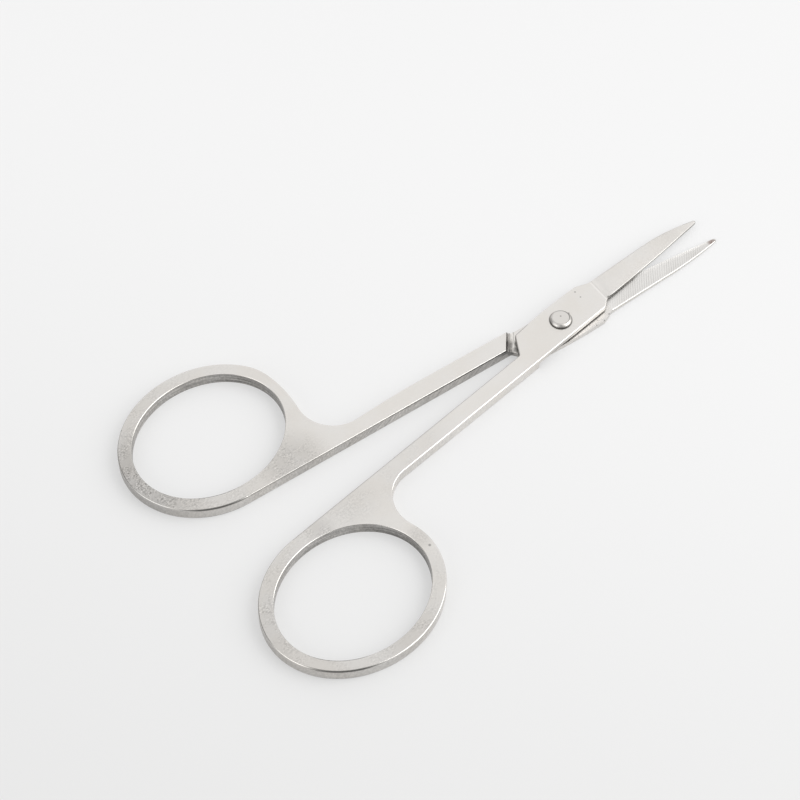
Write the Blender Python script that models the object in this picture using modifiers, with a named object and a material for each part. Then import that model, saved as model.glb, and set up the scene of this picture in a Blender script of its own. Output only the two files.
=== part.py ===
"""Manicure scissors: two flat steel halves that cross at one rivet.

Each half is one piece: a pointed blade, a joint plate of half thickness, a straight
shank of full thickness and an oval finger ring. The lower half lies on the table with
its ring on the +Y side. The upper half is such a blank turned over, so the two plates
lap at mid thickness. The rivet is fixed in the lower half and the upper half turns on it.

Frame: the origin is on the rivet's axis at the table, +Z runs up along the rivet, and
+X runs to the tips, midway between the two blades. All lengths are in metres.
"""
from math import atan2, cos, degrees, hypot, pi, radians, sin, sqrt, tan

import bmesh
import bpy
from mathutils import Matrix

MM = 0.001

# Sheet, clearances and the pose in which the scissors lie
stock = 1.9 * MM
running_gap = 0.25 * MM
edge_round = 0.15 * MM
overrun = 2.0 * MM
lying_open = radians(10.2)

# Blade, measured from the pivot in a half's own frame, where +X runs to the tip
# and +Y to the half's own ring
lower_tip_x = 27.45 * MM
lower_tip_y = 0.2 * MM
upper_tip_x = 27.2 * MM
upper_tip_y = 0.45 * MM
tip_round = 0.24 * MM
heel_x = 7.5 * MM
cutting_y = 1.87 * MM
back_y = -1.88 * MM
back_run_y = -1.26 * MM
back_run_x = 18.0 * MM
tip_drop = 0.50 * MM
drop_line_share = 0.25
blade_stations = 8

# Joint plate
plate_front_y = 2.71 * MM
plate_back_y = -2.90 * MM
plate_front_x = 5.8 * MM
plate_back_x = 5.7 * MM
plate_crown = 90.0 * MM
plate_corner = 0.8 * MM
stop_reach = 6.58 * MM
stop_skew = radians(36.0)
stop_corner = 0.35 * MM
stop_clearance = 0.42 * MM
lower_slope = radians(32.0)
upper_slope = radians(3.0)
shoulder_fillet = 0.3 * MM

# Shank
shank_outer_y = 2.45 * MM
shank_inner_y = 0.12 * MM
ring_fillet = 5.3 * MM

# Finger ring, whose underside reaches the half's centre line
ring_x = -50.0 * MM
ring_half_length = 12.75 * MM
ring_half_width = 10.97 * MM
ring_tilt = radians(4.2)
ring_wall = 1.85 * MM
lower_hole_tilt = radians(7.0)
upper_hole_tilt = radians(1.1)
hole_shift = 0.1 * MM

# Rivet
shaft_radius = 0.9 * MM
head_radius = 1.55 * MM
head_rim = 0.16 * MM
head_dome = 0.22 * MM
tail_radius = 1.3 * MM
tail_rim = 0.12 * MM
tail_flare = 0.3 * MM

# Counts of facets
ring_facets = 56
fillet_facets = 8
corner_facets = 4
crown_facets = 6
back_facets = 6
round_facets = 2
rivet_facets = 32
dome_facets = 4

# The longer blade's end, and the heights of the two lapped faces
blade_end = max(lower_tip_x, upper_tip_x)
lower_lap = (stock - running_gap) / 2
upper_lap = (stock + running_gap) / 2

for old in list(bpy.data.objects):
    bpy.data.objects.remove(old, do_unlink=True)


def new_collection(name):
    collection = bpy.data.collections.new(name)
    bpy.context.scene.collection.children.link(collection)
    return collection


parts = new_collection("manicure_scissors")
cutters = new_collection("cutters")


def steel(name, color, roughness):
    """A bare steel material."""
    material = bpy.data.materials.new(name)
    material.use_nodes = True
    shader = material.node_tree.nodes["Principled BSDF"]
    shader.inputs["Base Color"].default_value = (*color, 1.0)
    shader.inputs["Roughness"].default_value = roughness
    shader.inputs["Metallic"].default_value = 1.0
    return material


def ellipse_point(center, half_length, half_width, tilt, angle):
    """The point of a tilted ellipse at a parameter angle."""
    along = half_length * cos(angle)
    across = half_width * sin(angle)
    x = center[0] + along * cos(tilt) - across * sin(tilt)
    y = center[1] + along * sin(tilt) + across * cos(tilt)
    return x, y


def arc(center, radius, start, end, facets):
    """Points of a circular arc, both ends included."""
    turn = (end - start) / facets
    angles = [start + turn * i for i in range(facets + 1)]
    return [(center[0] + radius * cos(a), center[1] + radius * sin(a)) for a in angles]


def rounded(before, corner, after, radius):
    """The arc that rounds a corner between two straight edges."""
    to_before = (before[0] - corner[0], before[1] - corner[1])
    to_after = (after[0] - corner[0], after[1] - corner[1])
    first = atan2(to_before[1], to_before[0])
    second = atan2(to_after[1], to_after[0])
    opening = (second - first + pi) % (2 * pi) - pi
    set_back = radius / tan(abs(opening) / 2)
    set_back = min(set_back, hypot(*to_before) / 2, hypot(*to_after) / 2)
    radius = set_back * tan(abs(opening) / 2)
    middle = first + opening / 2
    distance = radius / sin(abs(opening) / 2)
    center = (corner[0] + distance * cos(middle), corner[1] + distance * sin(middle))
    side = pi / 2 if opening > 0 else -pi / 2
    sweep = (pi - abs(opening)) * (1 if opening > 0 else -1)
    start = first - side
    return arc(center, radius, start, start - sweep, corner_facets)


def ring_outline():
    """The centre of the ring and a function for the points of its outer ellipse."""
    sink = sqrt((ring_half_length * sin(ring_tilt)) ** 2 + (ring_half_width * cos(ring_tilt)) ** 2)
    center = (ring_x, sink)

    def point(angle):
        return ellipse_point(center, ring_half_length, ring_half_width, ring_tilt, angle)

    return center, point


def fillet_to_ring(ring_point):
    """The fillet between the shank's outer edge and the ring.

    It touches the edge from above and the ring from outside. Its centre slides along
    the edge until the nearest ring point is one radius away.
    """
    center_y = shank_outer_y + ring_fillet
    angles = [-pi / 2 + pi * i / 720 for i in range(720)]

    def nearest(center_x):
        gaps = [(hypot(center_x - ring_point(a)[0], center_y - ring_point(a)[1]), a) for a in angles]
        return min(gaps)

    low = ring_x
    high = ring_x + 2 * ring_half_length
    for _ in range(40):
        middle = (low + high) / 2
        if nearest(middle)[0] < ring_fillet:
            low = middle
        else:
            high = middle
    touch_angle = nearest(high)[1]
    touch = ring_point(touch_angle)
    end = atan2(touch[1] - center_y, touch[0] - high) % (2 * pi)
    return arc((high, center_y), ring_fillet, 3 * pi / 2, end, fillet_facets), touch_angle


def plate_back(x):
    """The crowned back edge of the joint plate."""
    return plate_back_y + x * x / (2 * plate_crown)


def stop_x(y):
    """Where the stop edge lies at some distance from the half's centre line."""
    return -(stop_reach + y * sin(stop_skew)) / cos(stop_skew)


def blade_back(tip_x, tip_y):
    """The blade's back: straight from the root, then a curve that rises to the nose."""
    slope = (back_run_y - back_y) / (back_run_x - heel_x)
    run = tip_x - tip_round - back_run_x
    rise = tip_y - tip_round - back_run_y - slope * run
    points = [(heel_x, back_y)]
    for i in range(back_facets + 1):
        share = i / back_facets
        points.append((back_run_x + run * share, back_run_y + slope * run * share + rise * share ** 2))
    return points


def half_outline(tip_x, tip_y):
    """One half from above, counter-clockwise from the tip along the cutting edge."""
    _, ring_point = ring_outline()
    fillet, touch_angle = fillet_to_ring(ring_point)
    nose = arc((tip_x - tip_round, tip_y), tip_round, -pi / 2, pi / 2, 2 * corner_facets)
    heel = (heel_x, cutting_y)
    front = (plate_front_x, plate_front_y)
    shank_corner = (stop_x(shank_inner_y), shank_inner_y)
    # The crown is even about the pivot, so its height there is read on either side
    stop_end_x = stop_x(plate_back(stop_reach))
    stop_end = (stop_end_x, plate_back(stop_end_x))
    plate_step = (plate_back_x - stop_end_x) / crown_facets
    crown = [(stop_end_x + plate_step * i, plate_back(stop_end_x + plate_step * i))
             for i in range(crown_facets + 1)]
    back = blade_back(tip_x, tip_y)

    ring_end = 3 * pi / 2 - atan2(ring_half_length * sin(ring_tilt), ring_half_width * cos(ring_tilt))
    ring_step = (ring_end - touch_angle) / ring_facets
    ring = [ring_point(touch_angle + ring_step * i) for i in range(1, ring_facets + 1)]

    outline = nose[1:]
    outline += rounded(nose[-1], heel, front, plate_corner)
    outline += rounded(heel, front, fillet[0], plate_corner)
    outline += fillet
    outline += ring
    outline += rounded(ring[-1], shank_corner, stop_end, stop_corner)
    outline += crown[:-1]
    outline += rounded(crown[-2], crown[-1], back[0], plate_corner)
    outline += rounded(crown[-1], back[0], back[1], plate_corner)
    outline += back[1:]
    return outline


def hole_outline(tilt):
    """The finger hole, set in from the ring by its wall."""
    ring_center, _ = ring_outline()
    center = (ring_center[0], ring_center[1] + hole_shift)
    half_length = ring_half_length - ring_wall
    half_width = ring_half_width - ring_wall
    turn = 2 * pi / ring_facets
    return [ellipse_point(center, half_length, half_width, tilt, turn * i)
            for i in range(ring_facets)]


def flat_curve(name, outlines, thickness):
    """A filled flat curve of some closed outlines, centred on its own plane."""
    curve = bpy.data.curves.new(name, "CURVE")
    curve.dimensions = "2D"
    curve.fill_mode = "BOTH"
    curve.extrude = thickness / 2
    for outline in outlines:
        spline = curve.splines.new("POLY")
        spline.points.add(len(outline) - 1)
        for place, (x, y) in zip(spline.points, outline):
            place.co = (x, y, 0, 1)
        spline.use_cyclic_u = True
    return bpy.data.objects.new(name, curve)


def to_mesh(obj, collection):
    """Replace an object by the closed mesh that it makes, at the same place."""
    bpy.context.scene.collection.objects.link(obj)
    bpy.context.view_layer.update()
    evaluated = obj.evaluated_get(bpy.context.evaluated_depsgraph_get())
    mesh = bpy.data.meshes.new_from_object(evaluated)
    name = obj.name
    place = obj.matrix_world.copy()
    bpy.data.objects.remove(obj, do_unlink=True)
    edit = bmesh.new()
    edit.from_mesh(mesh)
    bmesh.ops.remove_doubles(edit, verts=edit.verts, dist=running_gap / 1000)
    bmesh.ops.recalc_face_normals(edit, faces=edit.faces)
    edit.to_mesh(mesh)
    edit.free()
    solid = bpy.data.objects.new(name, mesh)
    mesh.name = name
    solid.matrix_world = place
    collection.objects.link(solid)
    return solid


def turned(name, profile, collection):
    """A solid of revolution about Z. The profile runs from its top to its bottom."""
    mesh = bpy.data.meshes.new(name)
    edges = [(i, i + 1) for i in range(len(profile) - 1)]
    mesh.from_pydata([(radius, 0, z) for radius, z in profile], edges, [])
    solid = bpy.data.objects.new(name, mesh)
    collection.objects.link(solid)
    screw = solid.modifiers.new("turn", "SCREW")
    screw.steps = rivet_facets
    screw.render_steps = rivet_facets
    screw.use_merge_vertices = True
    screw.merge_threshold = running_gap / 1000
    return solid


def as_cutter(solid):
    """Mark a solid as a tool that only cuts."""
    solid.hide_render = True
    solid.display_type = "WIRE"
    return solid


def cut(target, cutter):
    """Take a cutter away from a solid."""
    boolean = target.modifiers.new(cutter.name, "BOOLEAN")
    boolean.operation = "DIFFERENCE"
    boolean.solver = "EXACT"
    boolean.object = cutter


def half_blank(name, tip_x, tip_y, tilt):
    """The full-thickness blank of a half, with rounded rims."""
    outlines = [half_outline(tip_x, tip_y), hole_outline(tilt)]
    blank = flat_curve(name, outlines, stock - 2 * edge_round)
    blank.data.bevel_depth = edge_round
    blank.data.bevel_resolution = round_facets - 1
    blank.data.offset = -edge_round
    blank.location.z = stock / 2
    return to_mesh(blank, parts)


def lap_cutter(name, slope):
    """The milled lap: it removes the upper half of the thickness from the shoulder on.

    Its section is drawn square to the shoulder: a floor, a fillet and a sloping wall.
    """
    wall_top = stock + overrun
    wall_run = (wall_top - lower_lap) * tan(slope)
    far = blade_end + overrun
    foot = (0, lower_lap)
    wall = (-wall_run, wall_top)
    section = [(far, lower_lap)]
    section += list(reversed(rounded(wall, foot, (far, lower_lap), shoulder_fillet)))
    section += [wall, (far, wall_top)]
    tool = flat_curve(name, [section], 2 * far)
    reach = stop_reach + stop_clearance
    tool.rotation_euler = (pi / 2, 0, -stop_skew)
    tool.location = (-reach * cos(stop_skew), reach * sin(stop_skew), 0)
    return as_cutter(to_mesh(tool, cutters))


def shaft_cutter():
    """The plain hole that the rivet's shaft passes through."""
    radius = shaft_radius + running_gap
    profile = [(0, stock + overrun), (radius, stock + overrun), (radius, -overrun), (0, -overrun)]
    return as_cutter(turned("shaft_cutter", profile, cutters))


def tail_cutter():
    """The countersink in the lower face, where the rivet's tail is spread."""
    wide = tail_radius + running_gap
    narrow = shaft_radius + running_gap
    slope = (tail_radius - shaft_radius) / tail_flare
    shallow = tail_rim + running_gap
    deep = shallow + (wide - narrow) / slope
    profile = [(0, deep), (narrow, deep), (wide, shallow), (wide, -overrun), (0, -overrun)]
    return as_cutter(turned("tail_cutter", profile, cutters))


def blade_drop(x):
    """How far a blade's lapped face lies below the joint's."""
    share = max(0, (x - heel_x) / (blade_end - heel_x))
    return -tip_drop * (drop_line_share * share + (1 - drop_line_share) * share ** 2)


def bend_blade(half, upper):
    """Bend and thin the blade toward its tip.

    The blade is cut across at stations. Its lapped face then drops along a curve, the
    lower blade keeps its outer face on the table, and the upper one drops twice as far.
    """
    plate = lower_lap
    edit = bmesh.new()
    edit.from_mesh(half.data)
    step = (blade_end - heel_x) / blade_stations
    for i in range(blade_stations):
        everything = list(edit.verts) + list(edit.edges) + list(edit.faces)
        bmesh.ops.bisect_plane(edit, geom=everything, dist=running_gap / 1000,
                               plane_co=(heel_x + step * i, 0, 0), plane_no=(1, 0, 0))
    for vert in edit.verts:
        depth = (vert.co.z - upper_lap) / plate + 1 if upper else vert.co.z / plate
        vert.co.z += blade_drop(vert.co.x) * depth
    edit.to_mesh(half.data)
    edit.free()


def finish_half(half, upper, material):
    """Take the cuts into the mesh, bend the blade, smooth it and set it at its angle."""
    bpy.context.view_layer.update()
    evaluated = half.evaluated_get(bpy.context.evaluated_depsgraph_get())
    mesh = bpy.data.meshes.new_from_object(evaluated)
    half.modifiers.clear()
    half.data = mesh
    turn_over = Matrix.Translation((0, 0, stock)) @ Matrix.Rotation(pi, 4, "X")
    if upper:
        mesh.transform(half.matrix_world)
        mesh.transform(turn_over)
    else:
        mesh.transform(half.matrix_world)
    half.matrix_world = Matrix.Identity(4)
    bend_blade(half, upper)
    mesh.materials.clear()
    mesh.materials.append(material)
    mesh.shade_smooth()
    mesh.set_sharp_from_angle(angle=radians(30))
    half.rotation_euler.z = lying_open / 2 if upper else -lying_open / 2


def rivet(material):
    """A rivet with a low domed head and a tail spread flush into the lower face."""
    seat = stock + running_gap
    rim_top = seat + head_rim
    head = []
    for i in range(dome_facets + 1):
        share = i / dome_facets
        head.append((head_radius * share, rim_top + head_dome * (1 - share ** 2)))
    profile = head + [
        (head_radius, seat),
        (shaft_radius, seat),
        (shaft_radius, tail_rim + tail_flare),
        (tail_radius, tail_rim),
        (tail_radius, 0),
        (0, 0),
    ]
    solid = turned("pivot_rivet", profile, parts)
    solid.data.materials.append(material)
    screw = solid.modifiers["turn"]
    screw.use_smooth_shade = True
    return solid


shaft_hole = shaft_cutter()
tail_hole = tail_cutter()
lower_lap_tool = lap_cutter("lower_lap_cutter", lower_slope)
upper_lap_tool = lap_cutter("upper_lap_cutter", upper_slope)

lower_half = half_blank("lower_half", lower_tip_x, lower_tip_y, lower_hole_tilt)
cut(lower_half, lower_lap_tool)
cut(lower_half, shaft_hole)
cut(lower_half, tail_hole)
finish_half(lower_half, False, steel("lower_steel", (0.74, 0.72, 0.69), 0.32))

upper_half = half_blank("upper_half", upper_tip_x, upper_tip_y, upper_hole_tilt)
cut(upper_half, upper_lap_tool)
cut(upper_half, shaft_hole)
finish_half(upper_half, True, steel("upper_steel", (0.78, 0.76, 0.73), 0.28))

pivot_rivet = rivet(steel("rivet_steel", (0.72, 0.70, 0.67), 0.25))

bpy.context.view_layer.update()
for piece in (lower_half, upper_half, pivot_rivet):
    size = piece.dimensions
    print(piece.name, "is", [round(side / MM, 2) for side in size], "mm")
print("the scissors lie open by", round(degrees(lying_open), 2), "degrees")
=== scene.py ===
# %% [markdown]
# # A pair of manicure scissors in bare steel
#
# Such scissors are three pieces of metal: two halves, each stamped from sheet steel with its
# blade, shank and finger ring in one, and a rivet that they turn on. There is nothing soft and
# nothing painted, so the whole look rests on crisp rims and on what the steel mirrors.
#
# The construction is loaded first, as a fixed frame that the new pieces must keep to.

# %% Load the frame
from math import atan2, cos, hypot, pi, radians, sin, tan

import bmesh
import bpy
from mathutils import Matrix, Vector


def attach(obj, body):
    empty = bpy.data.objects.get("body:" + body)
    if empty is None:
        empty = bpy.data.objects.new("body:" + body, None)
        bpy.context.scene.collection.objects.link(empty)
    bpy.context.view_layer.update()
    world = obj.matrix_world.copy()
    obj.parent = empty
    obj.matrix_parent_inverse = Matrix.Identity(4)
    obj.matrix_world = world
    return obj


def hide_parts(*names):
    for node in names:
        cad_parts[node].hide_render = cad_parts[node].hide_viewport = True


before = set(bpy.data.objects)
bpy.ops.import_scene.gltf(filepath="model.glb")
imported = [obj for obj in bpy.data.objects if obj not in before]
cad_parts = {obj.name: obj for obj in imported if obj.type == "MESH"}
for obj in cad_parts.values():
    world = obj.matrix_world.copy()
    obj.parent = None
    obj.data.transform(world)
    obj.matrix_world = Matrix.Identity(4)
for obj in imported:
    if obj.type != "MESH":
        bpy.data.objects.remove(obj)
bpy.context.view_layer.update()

# %% [markdown]
# ## Sizes
#
# One half is drawn in its own frame: +X runs from the rivet to the tip, +Y to its own finger
# ring, and its lapped face looks up. All sizes are written once, in millimetres, so that both
# halves come from the same drawing. The lower half is then used as drawn, and the upper one is
# turned over, which is how the real ones are made. The plate's corners, the tip, the cutting
# edge, the shank and the bend into the ring differ a little between the two, because each is
# finished by hand.

# %% Sizes of a half
MM = 0.001
touching = 0.0001 * MM
stock = 1.9 * MM
running_gap = 0.25 * MM
rim_round = 0.13 * MM
lying_open = radians(10.2)
lap = (stock - running_gap) / 2

heel_x = 7.5 * MM
cutting_y = 1.87 * MM
back_y = -1.88 * MM
back_run_y = -1.26 * MM
back_run_x = 18.0 * MM
full_reach = 27.45 * MM
tip_round = 0.24 * MM
tip_drop = 0.50 * MM

plate_back_y = -2.90 * MM
plate_front_x = 5.8 * MM
plate_back_x = 5.7 * MM
plate_crown = 90.0 * MM
plate_corner = 0.8 * MM
stop_reach = 6.58 * MM
stop_skew = radians(36.0)
stop_corner = 0.35 * MM

shank_inner_y = 0.12 * MM
shank_end_x = -45.0 * MM
waist_x = -25.0 * MM
waist_round = 150.0 * MM
ring_fillet = 5.3 * MM

ring_x = -50.0 * MM
ring_half_length = 12.747 * MM
ring_half_width = 10.967 * MM
ring_tilt = radians(4.2)
ring_wall = 1.85 * MM
print("a half is", round((full_reach - ring_x + ring_half_length) / MM, 1), "mm long and",
      stock / MM, "mm thick")

# %% [markdown]
# ## Drawing the outline
#
# Seen from above, a half is one closed line made of arcs and straights: the nose of the tip,
# the cutting edge, the joint plate with its blunt corners, the shank, the fillet into the ring,
# the oval ring, and the back of the blade. Arcs and rounded corners are worked out by small
# helpers, so the line can be as fine as the picture needs.

# %% Helpers for arcs and corners
def arc(center, radius, start, end, facets):
    turn = (end - start) / facets
    return [(center[0] + radius * cos(start + turn * i), center[1] + radius * sin(start + turn * i))
            for i in range(facets + 1)]


def rounded(before, corner, after, radius, facets=8):
    to_before = (before[0] - corner[0], before[1] - corner[1])
    to_after = (after[0] - corner[0], after[1] - corner[1])
    first = atan2(to_before[1], to_before[0])
    opening = (atan2(to_after[1], to_after[0]) - first + pi) % (2 * pi) - pi
    set_back = min(radius / tan(abs(opening) / 2), hypot(*to_before) / 2, hypot(*to_after) / 2)
    radius = set_back * tan(abs(opening) / 2)
    distance = radius / sin(abs(opening) / 2)
    middle = first + opening / 2
    center = (corner[0] + distance * cos(middle), corner[1] + distance * sin(middle))
    side = pi / 2 if opening > 0 else -pi / 2
    sweep = (pi - abs(opening)) * (1 if opening > 0 else -1)
    return arc(center, radius, first - side, first - side - sweep, facets)


def oval_point(center, half_length, half_width, tilt, angle):
    along, across = half_length * cos(angle), half_width * sin(angle)
    return (center[0] + along * cos(tilt) - across * sin(tilt),
            center[1] + along * sin(tilt) + across * cos(tilt))


ring_center = (ring_x, hypot(ring_half_length * sin(ring_tilt), ring_half_width * cos(ring_tilt)))
print("the ring's centre is at", [round(value / MM, 2) for value in ring_center], "mm")

# %% [markdown]
# One ring swells a little on the side that faces the other. The fillet between a shank and its
# ring touches both, so its centre slides along the shank until the circle just meets the oval.
# A real bend is softer than that, so a smooth line is drawn across the last of it.

# %% Helpers for the ring and its fillet
swell_turn = radians(118)
swell_reach = radians(56)
swell_rate = 1.6


def swelling(angle, bulge):
    """How far the ring's outline swells at an angle, on the side that faces the other ring."""
    inner_side = (angle + swell_turn + pi) % (2 * pi) - pi
    return bulge * cos(swell_rate * inner_side) ** 2 if abs(inner_side) < swell_reach else 0


def ring_point(angle, bulge=0):
    extra = swelling(angle, bulge)
    return oval_point(ring_center, ring_half_length + extra, ring_half_width + extra, ring_tilt, angle)


def ring_fillet_arc(shank_outer_y):
    """The fillet touches the shank's outer edge and the ring. Its centre slides until it does."""
    level = shank_outer_y + ring_fillet
    angles = [-pi / 2 + pi * i / 720 for i in range(720)]

    def nearest(x):
        return min((hypot(x - ring_point(a)[0], level - ring_point(a)[1]), a) for a in angles)

    low, high = ring_x, ring_x + 2 * ring_half_length
    for _ in range(40):
        middle = (low + high) / 2
        if nearest(middle)[0] < ring_fillet:
            low = middle
        else:
            high = middle
    touch_angle = nearest(high)[1]
    touch = ring_point(touch_angle)
    end = atan2(touch[1] - level, touch[0] - high) % (2 * pi)
    return arc((high, level), ring_fillet, 3 * pi / 2, end, facets=28), touch_angle


def eased(before, after, cut_before, cut_after, pull_before, pull_after, steps=16):
    """Two runs of points that meet in a bend, with a smooth line drawn across it."""
    start, start_from = before[-cut_before], before[-cut_before - 1]
    end, end_from = after[cut_after], after[cut_after + 1]
    chord = hypot(end[0] - start[0], end[1] - start[1])

    def handle(point, from_point, pull):
        step = hypot(point[0] - from_point[0], point[1] - from_point[1])
        return [point[i] + (point[i] - from_point[i]) * pull * chord / step for i in (0, 1)]

    corners = (start, handle(start, start_from, pull_before), handle(end, end_from, pull_after), end)
    line = []
    for i in range(1, steps):
        t = i / steps
        weights = ((1 - t) ** 3, 3 * t * (1 - t) ** 2, 3 * t * t * (1 - t), t ** 3)
        line.append(tuple(sum(w * corner[k] for w, corner in zip(weights, corners)) for k in (0, 1)))
    return before[:-cut_before + 1] + line + after[cut_after:]


print("a ring is", round(2 * ring_half_length / MM, 1), "by", round(2 * ring_half_width / MM, 1), "mm")

# %% Helpers for the plate and the blade
def plate_back(x):
    return plate_back_y + x * x / (2 * plate_crown)


def stop_x(y):
    return -(stop_reach + y * sin(stop_skew)) / cos(stop_skew)


def blade_back(tip_x, tip_y, steps=16):
    slope = (back_run_y - back_y) / (back_run_x - heel_x)
    run = tip_x - tip_round - back_run_x
    rise = tip_y - tip_round - back_run_y - slope * run
    curve = [(back_run_x + run * i / steps,
              back_run_y + slope * run * i / steps + rise * (i / steps) ** 2)
             for i in range(steps + 1)]
    return [(heel_x, back_y)] + curve


def cutting_edge(tip_x, tip_y, heel, belly, steps=14):
    """The edge from the tip to the heel, which swells by the belly half way along."""
    start = (tip_x - tip_round, tip_y + tip_round)
    shares = [i / steps for i in range(1, steps)]
    return [(start[0] + (heel[0] - start[0]) * share,
             start[1] + (heel[1] - start[1]) * share + belly * 4 * share * (1 - share))
            for share in shares]


print("the stop starts at x", round(stop_x(shank_inner_y) / MM, 2), "mm")

# %% The outline of a half
crown_steps = 12
ring_facets = 140
hole_facets = 160


def half_outline(tip, heel, front, belly, shank_outer_y, waist_y, bulge, ease, stop_shift):
    fillet, touch_angle = ring_fillet_arc(shank_outer_y)
    nose = arc((tip[0] - tip_round, tip[1]), tip_round, -pi / 2, pi / 2, facets=14)
    edge = cutting_edge(*tip, heel, belly)
    shank_corner = (stop_x(shank_inner_y), shank_inner_y)
    stop_end_x = stop_x(plate_back(stop_reach)) + stop_shift
    step = (plate_back_x - stop_end_x) / crown_steps
    crown_xs = [stop_end_x + step * i for i in range(crown_steps + 1)]
    crown = [(x, plate_back(x)) for x in crown_xs]
    back = blade_back(*tip)
    ring_end = 3 * pi / 2 - atan2(ring_half_length * sin(ring_tilt), ring_half_width * cos(ring_tilt))
    turn = (ring_end - touch_angle) / ring_facets
    ring = [ring_point(touch_angle + turn * i, bulge) for i in range(1, ring_facets + 1)]

    outline = nose[1:] + edge + rounded(edge[-1], heel, front, plate_corner)
    waist = (waist_x, waist_y)
    outline += rounded(heel, front, waist, plate_corner)
    outline += rounded(front, waist, fillet[0], waist_round)
    outline += eased(fillet, ring, *ease)
    outline += rounded(ring[-1], shank_corner, crown[0], stop_corner) + crown[:-1]
    outline += rounded(crown[-2], crown[-1], back[0], plate_corner)
    outline += rounded(crown[-1], back[0], back[1], plate_corner) + back[1:]
    return outline


def hole_outline(tilt, shift):
    center = (ring_center[0], ring_center[1] + shift)
    half_length, half_width = ring_half_length - ring_wall, ring_half_width - ring_wall
    return [oval_point(center, half_length, half_width, tilt, 2 * pi * i / hole_facets)
            for i in range(hole_facets)]


lower_drawing = dict(
    tip=(27.449 * MM, 0.2 * MM), heel=(heel_x, cutting_y), front=(plate_front_x, 2.71 * MM),
    belly=0, shank_outer_y=2.18 * MM, waist_y=2.66 * MM, bulge=0.2 * MM,
    ease=(3, 22, 0.45, 0.2), stop_shift=0.4 * MM)
upper_drawing = dict(
    tip=(27.05 * MM, 0.66 * MM), heel=(7.85 * MM, 1.55 * MM), front=(6.22 * MM, 2.63 * MM),
    belly=0.14 * MM, shank_outer_y=2.45 * MM, waist_y=2.50 * MM, bulge=0,
    ease=(4, 3, 0.33, 0.33), stop_shift=0)
print("the outline has", len(half_outline(**lower_drawing)), "points")

# %% [markdown]
# ## From the drawing to a blank
#
# A stamped blank has flat faces and rounded rims, because it is tumbled with grit before it is
# ground. A flat curve gives exactly that: it is filled between the outline and the finger
# hole, extruded to the sheet's thickness, and its bevel rounds both rims. The curve is drawn in
# by one rim first, so that the bevel ends where the outline was drawn. It is then made a mesh
# and its seams are merged, so that edit mode can work on it.

# %% Small tools for working as by hand
def only(piece):
    if bpy.context.object and bpy.context.object.mode != "OBJECT":
        bpy.ops.object.mode_set(mode="OBJECT")
    bpy.ops.object.select_all(action="DESELECT")
    piece.select_set(True)
    bpy.context.view_layer.objects.active = piece


def edit(piece, kind="VERT", chosen="DESELECT"):
    only(piece)
    bpy.ops.object.mode_set(mode="EDIT")
    bpy.ops.mesh.select_mode(type=kind)
    bpy.ops.mesh.select_all(action=chosen)
    return bmesh.from_edit_mesh(piece.data)


def leave(piece):
    bmesh.update_edit_mesh(piece.data)
    bpy.ops.object.mode_set(mode="OBJECT")


def fix_place(piece):
    """Put the object's place and turn into its mesh."""
    only(piece)
    bpy.ops.object.transform_apply(location=True, rotation=True, scale=True)


def apply_modifiers(piece):
    only(piece)
    for modifier in list(piece.modifiers):
        bpy.ops.object.modifier_apply(modifier=modifier.name)


def combine(piece, operation, tool):
    """Cut a tool out of a piece, or join it on, and take the tool away."""
    change = piece.modifiers.new("shape", "BOOLEAN")
    change.operation, change.solver, change.object = operation, "EXACT", tool
    apply_modifiers(piece)
    bpy.data.objects.remove(tool, do_unlink=True)


def shade(piece, sharp_from):
    """Shade a piece smooth, but sharp from an angle on, with its flat faces truly flat."""
    only(piece)
    bpy.ops.object.shade_smooth_by_angle(angle=sharp_from)
    weigh = piece.modifiers.new("even", "WEIGHTED_NORMAL")
    weigh.keep_sharp, weigh.weight = True, 100
    apply_modifiers(piece)


print("at work in", bpy.context.scene.name)

# %% The blank of a half
def add_object(name, data):
    made = bpy.data.objects.new(name, data)
    bpy.context.scene.collection.objects.link(made)
    return made


def draw_lines(name, lines, closed):
    """A curve with one line of straight runs for each list of points."""
    curve = bpy.data.curves.new(name, "CURVE")
    for line in lines:
        spline = curve.splines.new("POLY")
        spline.points.add(len(line) - 1)
        for point, (x, y) in zip(spline.points, line):
            point.co = (x, y, 0, 1)
        spline.use_cyclic_u = closed
    return add_object(name, curve)


def draw_blank(name, outlines):
    blank = draw_lines(name, outlines, closed=True)
    curve = blank.data
    curve.dimensions, curve.fill_mode = "2D", "BOTH"
    curve.extrude = stock / 2 - rim_round
    curve.bevel_depth, curve.bevel_resolution, curve.offset = rim_round, 3, -rim_round
    only(blank)
    bpy.ops.object.convert(target="MESH")
    edit(blank, chosen="SELECT")
    bpy.ops.mesh.remove_doubles(threshold=2 * touching)
    bpy.ops.transform.translate(value=(0, 0, stock / 2))
    bpy.ops.mesh.dissolve_limited(angle_limit=radians(0.1), delimit=set())
    leave(blank)
    return blank


lower = draw_blank("lower_half_steel", [half_outline(**lower_drawing),
                                        hole_outline(tilt=radians(7.0), shift=0.04 * MM)])
upper = draw_blank("upper_half_steel", [half_outline(**upper_drawing),
                                        hole_outline(tilt=radians(1.1), shift=0.10 * MM)])
drawn_as = ((lower, lower_drawing), (upper, upper_drawing))
print("blanks of", len(lower.data.polygons), "and", len(upper.data.polygons), "faces")

# %% [markdown]
# The outer ends of the rings are handled and knocked most, so their outer rims are rounder than
# the rest. The points of those rims move away from the sharp corner that they are drawn around,
# up to two thirds further than they were drawn.

# %% Rounder rims at the rings' outer ends
rub_start_x = ring_x + 5 * MM
rub_run = 5 * MM
rub_more = 0.67


def rubbed_rim(x):
    return 1 + rub_more * min(1, max(0, (rub_start_x - x) / rub_run))


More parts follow.
